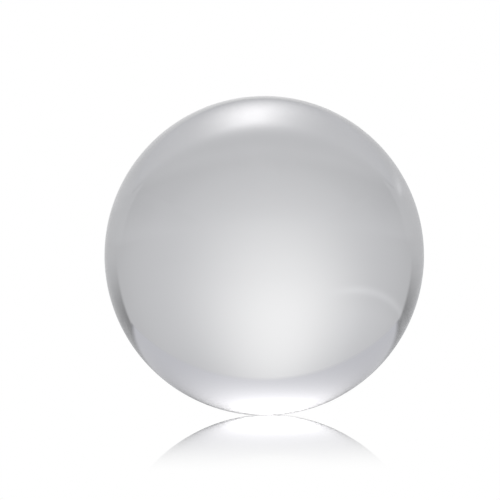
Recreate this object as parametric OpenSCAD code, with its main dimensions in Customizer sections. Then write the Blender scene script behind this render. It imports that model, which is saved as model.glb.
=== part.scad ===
// Glass ball paperweight: one solid ball of clear optical glass that stands on
// a small flat, ground and polished into its underside so that it can't roll.
//
// Millimetres, +Z up. The origin is the centre of the flat, on the surface
// that the ball stands on, and the ball is the same all round Z.

/* [Ball] */
// Diameter of the ball
ball_d = 80; // [40:1:150]

/* [Flat] */
// Diameter of the polished flat that the ball stands on
flat_d = 6.4; // [3:0.1:20]

/* [Hidden] */
ball_r = ball_d / 2;
flat_r = flat_d / 2;

// Height of the ball's centre above the flat
centre_z = sqrt(pow(ball_r, 2) - pow(flat_r, 2));

// Depth of the thin cap that grinding the flat takes off the ball
cap_h = ball_r - centre_z;

// The cutting block is this much larger than the cap on its free sides
cut_margin = 1;

// Segments round the ball in OpenSCAD's own preview and mesh
ball_segments = 180;

// Clear glass, as see-through grey
clear_glass = [0.86, 0.88, 0.89, 0.35];

// The full ball, before its flat is ground
module round_ball() {
    translate([0, 0, centre_z])
        sphere(r = ball_r, $fn = ball_segments);
}

// What grinding takes away: everything below the standing surface
module ground_away() {
    side = flat_d + 2 * cut_margin;
    depth = cap_h + cut_margin;
    translate([-side / 2, -side / 2, -depth])
        cube([side, side, depth]);
}

// The whole paperweight: the flat meets the ball at such a shallow angle that
// its rim needs no bevel
module glass_ball() {
    color(clear_glass)
        difference() {
            round_ball();
            ground_away();
        }
}

glass_ball();
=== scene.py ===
# %% [markdown]
# # A solid glass ball paperweight
#
# The whole object is one piece: a ball of clear optical glass that stands on a small
# flat ground into its underside. There is nothing to assemble, so the lesson is about
# the two things that make such a ball look real: a surface that is truly round all
# over, and a room for the glass to bend. Clear glass has no look of its own. What is
# seen in it is what stands around it, turned upside down.

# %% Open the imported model
import bmesh
import bpy
import math
from mathutils import Matrix, Vector


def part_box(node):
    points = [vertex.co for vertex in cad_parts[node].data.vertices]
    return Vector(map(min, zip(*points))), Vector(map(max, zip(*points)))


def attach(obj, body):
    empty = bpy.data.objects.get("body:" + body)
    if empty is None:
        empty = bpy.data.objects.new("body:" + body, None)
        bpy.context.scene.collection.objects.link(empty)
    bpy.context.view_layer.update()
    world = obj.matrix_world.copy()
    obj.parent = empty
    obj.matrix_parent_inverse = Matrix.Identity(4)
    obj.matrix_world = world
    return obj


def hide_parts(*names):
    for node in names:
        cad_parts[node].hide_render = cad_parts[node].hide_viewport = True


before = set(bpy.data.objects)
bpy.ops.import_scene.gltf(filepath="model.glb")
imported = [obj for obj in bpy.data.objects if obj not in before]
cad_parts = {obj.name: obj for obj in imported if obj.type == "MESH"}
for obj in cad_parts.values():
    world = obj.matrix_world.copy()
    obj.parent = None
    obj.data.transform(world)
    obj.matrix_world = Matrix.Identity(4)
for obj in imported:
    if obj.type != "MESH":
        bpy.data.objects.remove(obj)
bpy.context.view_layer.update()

# %% [markdown]
# ## Measuring the ball
#
# Every size of the ball comes from the CAD solid. Its mesh is made of flat triangles
# whose corners touch the true ball, so its box can be a few thousandths of a
# millimetre small. Rounding to a hundredth of a millimetre gives the true size back.

# %% Take the ball's sizes from its box
ball_low, ball_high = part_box("glass_ball")
MM = 1000.0                  # millimetres in a metre
PLACES = 5                   # decimal places of a metre that reach a hundredth of a mm


def to_hundredth_mm(length):
    """Round a length in metres to a hundredth of a millimetre."""
    return round(length, PLACES)


ball_r = to_hundredth_mm((ball_high.x - ball_low.x) / 2)
centre_z = to_hundredth_mm(ball_high.z - ball_r)
flat_r = math.sqrt(ball_r ** 2 - centre_z ** 2)
print(f"ball {2 * ball_r * MM:.1f} mm across, flat {2 * flat_r * MM:.1f} mm across")

# %% [markdown]
# ## The ball's shape
#
# A real ball of this kind starts as a gob of hot glass. It is pressed roughly round,
# then ground between spinning cups until every direction measures the same, and
# polished. Last, the flat is ground on a wheel, so that the ball can't roll away.
#
# A UV sphere would be quick, but its triangles crowd together at the two poles, and
# glass shows such a pole as a star. An icosphere has triangles of nearly one size all
# over, so no place on it is special. It is cut with a plane for the flat, as the
# wheel does, and the hole is closed with one face.

# %% Make the ball and grind its flat
ICO_LEVELS = 7


def ground_ball(name, radius, height):
    """A round ball centred at the given height, cut flat at the height of the table."""
    bm = bmesh.new()
    bmesh.ops.create_icosphere(bm, subdivisions=ICO_LEVELS, radius=radius)
    bmesh.ops.translate(bm, verts=bm.verts, vec=(0, 0, height))
    everything = bm.verts[:] + bm.edges[:] + bm.faces[:]
    cut = bmesh.ops.bisect_plane(
        bm, geom=everything, plane_co=(0, 0, 0), plane_no=(0, 0, -1), clear_outer=True
    )
    rim = [part for part in cut["geom_cut"] if isinstance(part, bmesh.types.BMEdge)]
    bmesh.ops.holes_fill(bm, edges=rim, sides=0)
    for face in bm.faces:
        face.smooth = True
    for edge in rim:
        edge.smooth = False
    bmesh.ops.recalc_face_normals(bm, faces=bm.faces)
    mesh = bpy.data.meshes.new(name)
    bm.to_mesh(mesh)
    bm.free()
    ball = bpy.data.objects.new(name, mesh)
    bpy.context.scene.collection.objects.link(ball)
    return ball


glass = ground_ball("glass_ball_clear", ball_r, centre_z)
print("ball mesh:", len(glass.data.vertices), "points,", len(glass.data.polygons), "faces")

# %% Check how round the new ball is
ball_middle = Vector((0, 0, centre_z))
distances = [(point.co - ball_middle).length for point in glass.data.vertices]
print(f"points lie {min(distances) * MM:.4f} to {max(distances) * MM:.4f} mm from the middle")

# %% [markdown]
# ## A small kit for writing recipes
#
# A Blender material is a tree of nodes. The class below lets each formula be written
# as ordinary lines. It also knows two shapes that come up again and again: a soft
# step from 0 to 1, and a bell curve, which is how a lamp's glow fades in all
# directions.

# %% A recipe writer
class Recipe:
    """Adds nodes to one new material."""

    def __init__(self, name):
        self.material = bpy.data.materials.new(name)
        self.material.use_nodes = True
        self.tree = self.material.node_tree
        self.tree.nodes.clear()

    def connect(self, value, socket):
        """Give a socket either another node's output or a plain value."""
        if isinstance(value, bpy.types.NodeSocket):
            self.tree.links.new(value, socket)
        else:
            socket.default_value = value

    def node(self, kind, inputs=None, **settings):
        """Add one node, set its options and fill its named inputs."""
        node = self.tree.nodes.new(kind)
        for setting, value in settings.items():
            setattr(node, setting, value)
        for socket, value in (inputs or {}).items():
            self.connect(value, node.inputs[socket])
        return node

    def maths(self, operation, *values):
        """The result of one Math node."""
        node = self.node("ShaderNodeMath", operation=operation)
        for socket, value in zip(node.inputs, values):
            self.connect(value, socket)
        return node.outputs["Value"]

    def plus(self, first, *others):
        """All the values added up."""
        for other in others:
            first = self.maths("ADD", first, other)
        return first

    def times(self, first, *others):
        """All the values multiplied."""
        for other in others:
            first = self.maths("MULTIPLY", first, other)
        return first

    def minus(self, first, second):
        """The first value less the second."""
        return self.maths("SUBTRACT", first, second)

    def over(self, first, second):
        """The first value divided by the second."""
        return self.maths("DIVIDE", first, second)

    def length(self, across, up):
        """The length of the slanting side of a right triangle."""
        return self.maths("SQRT", self.plus(self.times(across, across), self.times(up, up)))

    def soft_step(self, value, start, end):
        """0 up to the start, 1 from the end on, and smooth between them."""
        inputs = {"Value": value, "From Min": start, "From Max": end}
        return self.node("ShaderNodeMapRange", inputs, interpolation_type="SMOOTHSTEP").outputs[0]

    def bell(self, value, middle, spread):
        """A bell curve: 1 at the middle, and 0.61 at one spread from it."""
        away = self.over(self.minus(value, middle), spread)
        return self.maths("EXPONENT", self.times(away, away, -0.5))

    def blend(self, amount, low, high):
        """low where the amount is 0, high where it is 1."""
        return self.plus(self.times(amount, self.minus(high, low)), low)

    def finish(self, surface, volume=None):
        """Wire the result to the material's output."""
        output = self.node("ShaderNodeOutputMaterial")
        self.connect(surface, output.inputs["Surface"])
        if volume is not None:
            self.connect(volume, output.inputs["Volume"])
        return self.material


# %% [markdown]
# ## The glass
#
# Paperweight balls are optical glass, which bends light by 1.52. The Principled shader
# makes it with Transmission at 1, and the index is typed straight into its socket.
#
# Four small things keep it from looking like a formula:
#
# - Glass a hand's width thick swallows a little light, and red a little more than
#   blue. The volume does this.
# - The polishing cloth went round some places more often than others, so there is a
#   trace of haze in broad clouds. It is a change of roughness too small to blur
#   anything, and it shows only in the edge of a highlight.
# - The polished surface has very slight waves, far too shallow to feel.
# - The flat is polished as well, but it is the one place that rubs on the desk, so it
#   has lost a little of its shine. It meets the round part at a crisp line.

# %% Choose the sizes of the glass's own details
GLASS_INDEX = 1.52
GLASS_TINT = (0.94, 0.95, 1.0, 1.0)
GLASS_DENSITY = 0.4          # per metre
CLOUDS_PER_METRE = 18.0
CLOUD_DETAIL = 3.0           # steps of finer and finer clouds
HAZE_FROM = 0.45
HAZE_FULL = 0.75
HAZE_MOST = 0.015
WORN_ROUGHNESS = 0.1
WORN_UP_TO = 0.00001         # metres above the table
WAVES_PER_METRE = 40.0
WAVE_DETAIL = 1.0
WAVE_HEIGHT = 0.00000025     # metres


# %% Make the glass
def optical_glass():
    """Clear polished glass with a slightly worn flat."""
    recipe = Recipe("optical_glass_polished")
    place = recipe.node("ShaderNodeTexCoord").outputs["Object"]
    noise = {"Vector": place, "Scale": CLOUDS_PER_METRE, "Detail": CLOUD_DETAIL}
    clouds = recipe.node("ShaderNodeTexNoise", noise).outputs[0]
    haze = recipe.times(recipe.soft_step(clouds, HAZE_FROM, HAZE_FULL), HAZE_MOST)

    height = recipe.node("ShaderNodeSeparateXYZ", {"Vector": place}).outputs["Z"]
    unworn = recipe.maths("GREATER_THAN", height, WORN_UP_TO)
    rough = recipe.blend(unworn, WORN_ROUGHNESS, haze)

    noise = {"Vector": place, "Scale": WAVES_PER_METRE, "Detail": WAVE_DETAIL}
    waves = recipe.node("ShaderNodeTexNoise", noise).outputs[0]
    bump = {"Height": waves, "Distance": WAVE_HEIGHT, "Strength": 1.0}
    surface = {
        "Base Color": (1.0, 1.0, 1.0, 1.0),
        "Transmission Weight": 1.0,
        "IOR": GLASS_INDEX,
        "Roughness": rough,
        "Normal": recipe.node("ShaderNodeBump", bump).outputs["Normal"],
    }
    shader = recipe.node("ShaderNodeBsdfPrincipled", surface)
    tint = {"Color": GLASS_TINT, "Density": GLASS_DENSITY}
    swallow = recipe.node("ShaderNodeVolumeAbsorption", tint)
    return recipe.finish(shader.outputs["BSDF"], swallow.outputs["Volume"])


glass.data.materials.append(optical_glass())
print("glass recipe:", len(glass.data.materials[0].node_tree.nodes), "nodes")

# %% Tell the frame what the ball stands for
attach(glass, "root")
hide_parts("glass_ball")

# %% [markdown]
# ## The light tent
#
# A photographer lights glass with surfaces, not with bare lamps: a bare lamp would
# only be a hard dot in the ball. The ball stands in a tent of pale cloth:
#
# - a table cloth that sweeps up into a back wall, with a soft lamp behind the wall,
# - side walls that are open to the dark studio higher up at the back; the dark gaps
#   draw the grey outlines that make clear glass stand out from white,
# - a softbox close above the ball, which is the bright patch near the top, and which
#   the glass bends into the white foot of the ball.
#
# Each surface is a plane whose brightness is a short formula of the place on it. All
# distances are in ball radii, measured from the ball's centre. The camera doesn't see
# the tent, but the glass does.

# %% Sizes of the tent, in ball radii
BACK = 10.0
SIDE = 16.0
FRONT = 18.0
ROOF = 9.0
SOFTBOX_HEIGHT = 3.193
TABLE = -centre_z / ball_r


def tent_place(recipe):
    """The place on the tent in ball radii from the ball's centre: x, y and z.

    Below the table the tent is repeated upside down, for the ball's twin in the table.
    """
    place = recipe.node("ShaderNodeTexCoord").outputs["Object"]
    parts = recipe.node("ShaderNodeSeparateXYZ", {"Vector": place}).outputs
    x = recipe.over(parts["X"], ball_r)
    y = recipe.over(parts["Y"], ball_r)
    z = recipe.plus(recipe.over(recipe.maths("ABSOLUTE", parts["Z"]), ball_r), TABLE)
    return x, y, z


# %% [markdown]
# ### Two colours of light
#
# Daylight cloth looks a little blue beside a lamp. Each surface therefore shines in
# two colours that add up: a cool one for the cloth and a warmer one for its lamp.

# %% Cloth that shines
COOL_CLOTH = (1.0, 1.006, 1.035, 1.0)
COOL_SOFTBOX = (1.0, 1.008, 1.085, 1.0)
WARM_LAMP = (1.0, 0.99, 0.955, 1.0)
WHITE_LAMP = (1.0, 0.985, 0.99, 1.0)


def shine(recipe, cloth, cloth_colour, lamp, lamp_colour):
    """A surface that shines with its cloth's light and its lamp's light added up."""
    parts = []
    for strength, colour in ((cloth, cloth_colour), (lamp, lamp_colour)):
        emission = recipe.node("ShaderNodeEmission", {"Color": colour, "Strength": strength})
        parts.append(emission.outputs["Emission"])
    both = recipe.node("ShaderNodeAddShader")
    recipe.connect(parts[0], both.inputs[0])
    recipe.connect(parts[1], both.inputs[1])
    return both.outputs["Shader"]


# %% [markdown]
# ### Cloth, gaps and falling light
#
# The tent's cloth is brightest at the back and dims towards the front and the sides.
# High on the side walls it opens into the dark. One formula serves all the walls and
# the table, so there is no seam where they meet.

# %% The pale cloth and its dark gaps
PALE = 0.575
DIM_FRONT = 0.30
DIM_FROM = -9.483
SIDE_LOSS = 0.211
DARK = 0.108
GAP_FOOT = -1.0              # height where the gaps begin, from the ball's centre
GAP_RISE = 9.077
GAP_CORNER = 2.2
GAP_FROM = -3.0
GAP_TO = 3.0


def pale_cloth(recipe, x, y, z):
    """Pale cloth that dims to the front and sides, with dark gaps high at the sides."""
    aside = recipe.maths("ABSOLUTE", x)
    near_back = recipe.soft_step(y, DIM_FROM, BACK)
    loss = recipe.times(recipe.soft_step(aside, 0.0, SIDE), SIDE_LOSS)
    cloth = recipe.times(recipe.blend(near_back, DIM_FRONT, PALE), recipe.minus(1.0, loss))
    high = recipe.soft_step(z, GAP_FOOT, GAP_FOOT + GAP_RISE)
    at_side = recipe.soft_step(aside, SIDE - GAP_CORNER, SIDE)
    behind = recipe.soft_step(y, GAP_FROM, GAP_TO)
    return recipe.blend(recipe.times(high, at_side, behind), cloth, DARK)


# %% [markdown]
# ### The glow of the lamp behind
#
# The lamp behind the back wall makes a patch that fades evenly. It is described by
# its direction as seen from the ball, so it runs on without a seam from the wall down
# on to the table. Turned upside down by the glass, it becomes the large soft glow
# under the middle of the ball.

# %% The glow as seen from the ball
GLOW = 0.318
GLOW_ACROSS = -0.062
GLOW_UP = 0.26
GLOW_SPREAD_ACROSS = 0.213
GLOW_SPREAD_ABOVE = 0.513
GLOW_SPREAD_BELOW = 0.26
SIDEWAYS_LIMIT = 0.3
BEHIND_FULL = 1.5


def direction(recipe, x, y, z):
    """How far across and how far up a place is, for each step towards the back."""
    depth = recipe.maths("MAXIMUM", y, SIDEWAYS_LIMIT)
    return recipe.over(x, depth), recipe.over(z, depth)


def lamp_glow(recipe, x, y, z):
    """The lamp's soft patch, wider above its middle than below."""
    across, up = direction(recipe, x, y, z)
    above = recipe.bell(up, GLOW_UP, GLOW_SPREAD_ABOVE)
    below = recipe.bell(up, GLOW_UP, GLOW_SPREAD_BELOW)
    is_above = recipe.maths("GREATER_THAN", up, GLOW_UP)
    upright = recipe.blend(is_above, below, above)
    sideways = recipe.bell(across, GLOW_ACROSS, GLOW_SPREAD_ACROSS)
    behind = recipe.soft_step(y, 0.0, BEHIND_FULL)
    return recipe.times(sideways, upright, behind, GLOW)


# %% [markdown]
# ### A fainter glow in front
#
# A second, fainter lamp shines through the front wall. From the camera's side only a
# trace of it is mirrored in the ball. Seen from behind, it is what fills the ball with
# light.

# %% The glow in the front wall
FRONT_GLOW = 0.25
FRONT_GLOW_UP = 0.12
FRONT_SPREAD_ACROSS = 0.7
FRONT_SPREAD_UP = 0.45
FRONT_GLOW_FROM = 3.0
FRONT_GLOW_FULL = 9.0


def front_glow(recipe, x, y, z):
    """A broad soft patch towards the front, by its direction from the ball."""
    forward = recipe.times(y, -1.0)
    across, up = direction(recipe, x, forward, z)
    sideways = recipe.bell(across, 0.0, FRONT_SPREAD_ACROSS)
    upright = recipe.bell(up, FRONT_GLOW_UP, FRONT_SPREAD_UP)
    ahead = recipe.soft_step(forward, FRONT_GLOW_FROM, FRONT_GLOW_FULL)
    return recipe.times(sideways, upright, ahead, FRONT_GLOW)


# %% [markdown]
# ### A painted highlight line
#
# A thin painted highlight line starts level beside the glow and climbs to the left
# corner of the tent, with painted lighter cloth above it. In the ball it is a thin
# light line low on the right. Its formula is one arm of a hyperbola: level at one end
# and straight at the other.

# %% The painted highlight line in the back wall
LINE_HIGHLIGHT = 0.065
LINE_ACROSS = -0.3
LINE_UP = 0.155
LINE_BEND = 0.45
LINE_SLOPE = 0.62
LINE_WIDTH = 0.012
LINE_START = 0.22
LINE_FULL = 0.45
LINE_LIFT = 0.03
LINE_LIFT_OVER = 0.15


def painted_highlight_line(recipe, x, y, z):
    """A thin light line that climbs to the left, with slightly lighter cloth above it."""
    across, up = direction(recipe, x, y, z)
    arm = recipe.length(recipe.minus(across, LINE_ACROSS), LINE_BEND)
    line = recipe.plus(recipe.times(recipe.minus(arm, LINE_BEND), LINE_SLOPE), LINE_UP)
    width = recipe.times(recipe.plus(recipe.times(across, across), 1.0), LINE_WIDTH)
    above = recipe.minus(up, line)
    bright_line = recipe.times(recipe.bell(above, 0.0, width), LINE_HIGHLIGHT)
    lift = recipe.times(recipe.soft_step(above, 0.0, LINE_LIFT_OVER), LINE_LIFT)
    left = recipe.soft_step(recipe.times(across, -1.0), LINE_START, LINE_FULL)
    behind = recipe.soft_step(y, 0.0, BEHIND_FULL)
    return recipe.times(recipe.plus(bright_line, lift), left, behind)


# %% The wall material
def wall_material():
    """Pale cloth with its painted highlight line, and the lamp's glow in it."""
    recipe = Recipe("tent_wall")
    place = tent_place(recipe)
    cloth = recipe.plus(pale_cloth(recipe, *place), painted_highlight_line(recipe, *place))
    glow = recipe.plus(lamp_glow(recipe, *place), front_glow(recipe, *place))
    return recipe.finish(shine(recipe, cloth, COOL_CLOTH, glow, WARM_LAMP))


# %% [markdown]
# ### The table
#
# The table cloth is the same cloth, a little brighter round the ball. Where the ball
# rests on it there is a small dark contact shade, and a soft ring of shadow lies round
# that. A short painted glint, a small light streak, lies behind the ball on the left.

# %% The table material
TABLE_RING = 0.035
TABLE_RING_RADIUS = 3.2
TABLE_RING_SOFT = 0.6
CONTACT_SHADE = -0.25
CONTACT_SPREAD = 0.28
RING_SHADOW = -0.22
RING_SHADOW_RADIUS = 0.7
RING_SHADOW_SPREAD = 0.27
# A painted glint on the table: a small light streak, with its strength, place, turn and size.
GLINT = 0.13
GLINT_X = -2.05
GLINT_Y = 2.15
GLINT_TURN = math.radians(127.0)
GLINT_HALF_LENGTH = 0.35
GLINT_HALF_WIDTH = 0.10


def painted_glint(recipe, x, y):
    """A short painted glint, seen as a small light streak."""
    from_x = recipe.minus(x, GLINT_X)
    from_y = recipe.minus(y, GLINT_Y)
    cosine, sine = math.cos(GLINT_TURN), math.sin(GLINT_TURN)
    along = recipe.plus(recipe.times(from_x, cosine), recipe.times(from_y, sine))
    across = recipe.minus(recipe.times(from_y, cosine), recipe.times(from_x, sine))
    streak = recipe.bell(along, 0.0, GLINT_HALF_LENGTH)
    return recipe.times(streak, recipe.bell(across, 0.0, GLINT_HALF_WIDTH), GLINT)


def table_material():
    """Pale cloth with the lamp's glow, the ball's shade and one painted glint."""
    recipe = Recipe("tent_table")
    place = tent_place(recipe)
    away = recipe.length(place[0], place[1])
    inner = TABLE_RING_RADIUS - TABLE_RING_SOFT / 2
    outer = TABLE_RING_RADIUS + TABLE_RING_SOFT / 2
    ring = recipe.blend(recipe.soft_step(away, inner, outer), TABLE_RING, 0.0)
    shade = recipe.times(recipe.bell(away, 0.0, CONTACT_SPREAD), CONTACT_SHADE)
    shadow_ring = recipe.bell(away, RING_SHADOW_RADIUS, RING_SHADOW_SPREAD)
    shadow = recipe.times(shadow_ring, RING_SHADOW)
    # a painted glint: a small light streak behind the ball on the left
    glint = painted_glint(recipe, place[0], place[1])
    cloth = recipe.plus(pale_cloth(recipe, *place), ring, shade, shadow, glint)
    cloth = recipe.maths("MAXIMUM", cloth, 0.0)
    glow = recipe.plus(lamp_glow(recipe, *place), front_glow(recipe, *place))
    return recipe.finish(shine(recipe, cloth, COOL_CLOTH, glow, WARM_LAMP))


# %% [markdown]
# ### The softbox
#
# The softbox hangs little more than one ball width above the ball. It is brightest
# almost straight above it and fades in every direction, more slowly to the back
# than to the front. Its back edge is straight and its front edge is bowed. Because it
# is so near, the ball's top mirrors its bright middle while the ball's foot shows its
# faint back part.

# %% Sizes of the softbox
SOFTBOX = 5.29
SOFTBOX_CLOTH = 0.483
SOFTBOX_X = -0.236
SOFTBOX_Y = 0.601
SOFTBOX_SKEW = 0.071
REACH_LEFT = 1.216
REACH_RIGHT = 1.099
REACH_FRONT = 0.851
REACH_BACK = 2.17
FRONT_EDGE = -0.7
FRONT_BOW = 0.136
FRONT_SOFT = 1.1
FRONT_CLOTH = 0.157
BACK_EDGE = 5.087
BACK_SOFT = 0.5
CUT_SOFT = 0.25


# %% The softbox material
def two_sided(recipe, value, reach_below, reach_above):
    """A value measured in one reach below zero and in another above it."""
    is_above = recipe.maths("GREATER_THAN", value, 0.0)
    return recipe.over(value, recipe.blend(is_above, reach_below, reach_above))


def softbox_light(recipe, x, y):
    """The softbox's light: full in the middle, a quarter of it at one reach."""
    from_y = recipe.minus(y, SOFTBOX_Y)
    from_x = recipe.minus(recipe.minus(x, SOFTBOX_X), recipe.times(from_y, SOFTBOX_SKEW))
    part_x = two_sided(recipe, from_x, REACH_LEFT, REACH_RIGHT)
    part_y = two_sided(recipe, from_y, REACH_FRONT, REACH_BACK)
    away = recipe.plus(recipe.times(part_x, part_x), recipe.times(part_y, part_y), 1.0)
    return recipe.over(SOFTBOX, recipe.times(away, away))


def softbox_material():
    """A lit cloth with a bowed front edge; outside its edges it is clear."""
    recipe = Recipe("tent_softbox")
    x, y, _ = tent_place(recipe)
    front_edge = recipe.plus(recipe.times(x, x, FRONT_BOW), FRONT_EDGE)
    inside = recipe.minus(y, front_edge)
    full = recipe.soft_step(inside, 0.0, FRONT_SOFT)
    cloth = recipe.blend(full, FRONT_CLOTH, SOFTBOX_CLOTH)
    lamp = recipe.times(softbox_light(recipe, x, y), full)
    lit = shine(recipe, cloth, COOL_SOFTBOX, lamp, WHITE_LAMP)

    before_back = recipe.soft_step(recipe.minus(BACK_EDGE, y), -BACK_SOFT / 2, BACK_SOFT / 2)
    behind_front = recipe.soft_step(inside, -CUT_SOFT / 2, CUT_SOFT / 2)
    mix = recipe.node("ShaderNodeMixShader", {"Fac": recipe.times(before_back, behind_front)})
    recipe.connect(recipe.node("ShaderNodeBsdfTransparent").outputs["BSDF"], mix.inputs[1])
    recipe.connect(lit, mix.inputs[2])
    return recipe.finish(mix.outputs["Shader"])


# %% The roof, dark at the back
ROOF_FRONT = 0.38
ROOF_FRONT_FROM = 2.0
ROOF_FRONT_FULL = 6.0


def roof_material():
    """Dim cloth above the front half, and the dark studio above the back half."""
    recipe = Recipe("tent_roof")
    y = tent_place(recipe)[1]
    forward = recipe.soft_step(recipe.times(y, -1.0), ROOF_FRONT_FROM, ROOF_FRONT_FULL)
    light = {"Color": COOL_CLOTH, "Strength": recipe.blend(forward, DARK, ROOF_FRONT)}
    return recipe.finish(recipe.node("ShaderNodeEmission", light).outputs["Emission"])


# %% [markdown]
# ### Hanging the tent
#
# Every surface is one rectangle, given by its middle and by half of its two sides. The
# walls reach as far below the table as above it, and the roof and the softbox are hung
# a second time below, so that the ball's twin in the table stands in the same light.
#
# None of them is sampled as a lamp. Only the glass has to find them, and it does so by
# bending and mirroring what the camera sends it.

# %% A helper that hangs one rectangle
def hung_cloth(name, material, middle, across, up):
    """A flat rectangle that the camera doesn't see, with sizes in ball radii."""
    bm = bmesh.new()
    bmesh.ops.create_grid(bm, x_segments=1, y_segments=1, size=1.0)
    across, up, middle = Vector(across), Vector(up), Vector(middle)
    axes = Matrix((across, up, across.cross(up).normalized())).transposed().to_4x4()
    bmesh.ops.transform(bm, matrix=Matrix.Translation(middle) @ axes, verts=bm.verts)
    bmesh.ops.scale(bm, vec=(ball_r, ball_r, ball_r), verts=bm.verts)
    mesh = bpy.data.meshes.new(name)
    bm.to_mesh(mesh)
    bm.free()
    mesh.materials.append(material)
    material.cycles.emission_sampling = "NONE"
    cloth = bpy.data.objects.new(name, mesh)
    bpy.context.scene.collection.objects.link(cloth)
    cloth.visible_camera = False
    return cloth


# %% Hang the walls and the table
TABLE_SINK = 0.001           # how far the table cloth lies below the floor, in ball radii
middle_y = (BACK - FRONT) / 2
half_y = (BACK + FRONT) / 2
roof_height = ROOF - TABLE
wall_mat = wall_material()
hung_cloth("tent_back", wall_mat, (0, BACK, 0), (SIDE, 0, 0), (0, 0, roof_height))
hung_cloth("tent_front", wall_mat, (0, -FRONT, 0), (SIDE, 0, 0), (0, 0, roof_height))
hung_cloth("tent_left", wall_mat, (-SIDE, middle_y, 0), (0, half_y, 0), (0, 0, roof_height))
hung_cloth("tent_right", wall_mat, (SIDE, middle_y, 0), (0, half_y, 0), (0, 0, roof_height))
hung_cloth("tent_table", table_material(), (0, middle_y, -TABLE_SINK), (SIDE, 0, 0), (0, half_y, 0))
print(f"tent: {2 * SIDE * ball_r:.2f} m wide, {roof_height * ball_r:.2f} m high")

# %% Hang the roof and the softbox, above and below
softbox_height = SOFTBOX_HEIGHT - TABLE
softbox_half = math.sqrt((BACK_EDGE + BACK_SOFT - FRONT_EDGE) / FRONT_BOW)
softbox_middle_y = (BACK_EDGE + FRONT_EDGE) / 2
softbox_half_y = (BACK_EDGE - FRONT_EDGE + BACK_SOFT) / 2
roof_mat = roof_material()
softbox_mat = softbox_material()
for side, below in ((1, ""), (-1, "_below")):
    roof_at = (0, middle_y, side * roof_height)
    hung_cloth("tent_roof" + below, roof_mat, roof_at, (SIDE, 0, 0), (0, half_y, 0))
    box_at = (0, softbox_middle_y, side * softbox_height)
    box_sides = (softbox_half, 0, 0), (0, softbox_half_y, 0)
    hung_cloth("tent_softbox" + below, softbox_mat, box_at, *box_sides)
softbox_gap = softbox_height * ball_r - ball_high.z
print(f"softbox: {2 * softbox_half * ball_r:.2f} m wide, {softbox_gap:.3f} m above the ball")

# %% [markdown]
# ## The floor and the ball's twin in it
#
# The ball stands on glossy white acrylic. A glossy floor shows each thing on it upside
# down, so the ball has a twin under the floor: the same ball, turned over. The floor
# is a white sheet that lets the twin through near the ball and less and less further
# out, and less when looked at steeply, as gloss does. Only the camera sees this sheet.
# The glass sees the table cloth in its place.

# %% Place the twin
TWIN_DROP = 0.00008          # metres

twin = bpy.data.objects.new("twin_in_floor", glass.data)
bpy.context.scene.collection.objects.link(twin)
twin.rotation_euler = (math.pi, 0, 0)
twin.location = (0, 0, -TWIN_DROP)
print(f"twin: turned over, {TWIN_DROP * MM:.2f} mm below the floor")

# %% The floor's gloss
FADE_FROM = 2.25              # ball radii
FADE_TO = 16.5
GLOSS_INDEX = 1.5
GLOSS_GAIN = 1.3
FLOOR_HALF = 75.0


def glossy_white():
    """White, and clear enough near the ball to show its twin."""
    recipe = Recipe("floor_white")
    x, y, _ = tent_place(recipe)
    near = recipe.minus(1.0, recipe.soft_step(recipe.length(x, y), FADE_FROM, FADE_TO))
    gloss = recipe.node("ShaderNodeFresnel", {"IOR": GLOSS_INDEX}).outputs["Fac"]
    mirror = recipe.maths("MINIMUM", recipe.times(gloss, GLOSS_GAIN), 1.0)
    mix = recipe.node("ShaderNodeMixShader", {"Fac": recipe.times(near, mirror)})
    white = recipe.node("ShaderNodeEmission", {"Strength": 1.0}).outputs["Emission"]
    clear = recipe.node("ShaderNodeBsdfTransparent").outputs["BSDF"]
    recipe.connect(white, mix.inputs[1])
    recipe.connect(clear, mix.inputs[2])
    return recipe.finish(mix.outputs["Shader"])


floor = hung_cloth("floor", glossy_white(), (0, 0, 0), (FLOOR_HALF, 0, 0), (0, FLOOR_HALF, 0))
floor.visible_camera = True
floor.visible_glossy = False
floor.visible_transmission = False
floor.visible_diffuse = False
floor.visible_shadow = False
print(f"floor: {2 * FLOOR_HALF * ball_r:.0f} m square")

# %% The white behind everything
world = bpy.data.worlds.new("white_page")
world.use_nodes = True
background = world.node_tree.nodes["Background"]
background.inputs["Color"].default_value = (1.0, 1.0, 1.0, 1.0)
background.inputs["Strength"].default_value = 1.0
bpy.context.scene.world = world
bpy.context.scene.view_settings.view_transform = "Standard"

# %% [markdown]
# ## The camera
#
# A very long lens from far away looks along the table at the height of the ball's
# centre, so the ball's outline stays a true circle. The camera is held a hair off
# level, and the frame is slid a little so that the ball stands right of the middle
# with room below for its reflection.

# %% Set up the camera
CAMERA_AWAY = 2.5            # metres
LENS = 719.0                 # millimetres
SENSOR = 36.0                # millimetres
TILT_SIDEWAYS = math.radians(0.8)
SLIDE_RIGHT = -0.0285        # parts of the frame's width
SLIDE_UP = 0.0113

camera = bpy.data.objects.new("camera", bpy.data.cameras.new("camera"))
bpy.context.scene.collection.objects.link(camera)
camera.data.sensor_width = SENSOR
camera.data.lens = LENS
camera.data.shift_x = SLIDE_RIGHT
camera.data.shift_y = SLIDE_UP
camera.location = (0, -CAMERA_AWAY, centre_z)
camera.rotation_euler = (math.pi / 2, TILT_SIDEWAYS, 0)
bpy.context.scene.camera = camera
print("camera:", CAMERA_AWAY, "m from the ball's centre, with a", LENS, "mm lens")
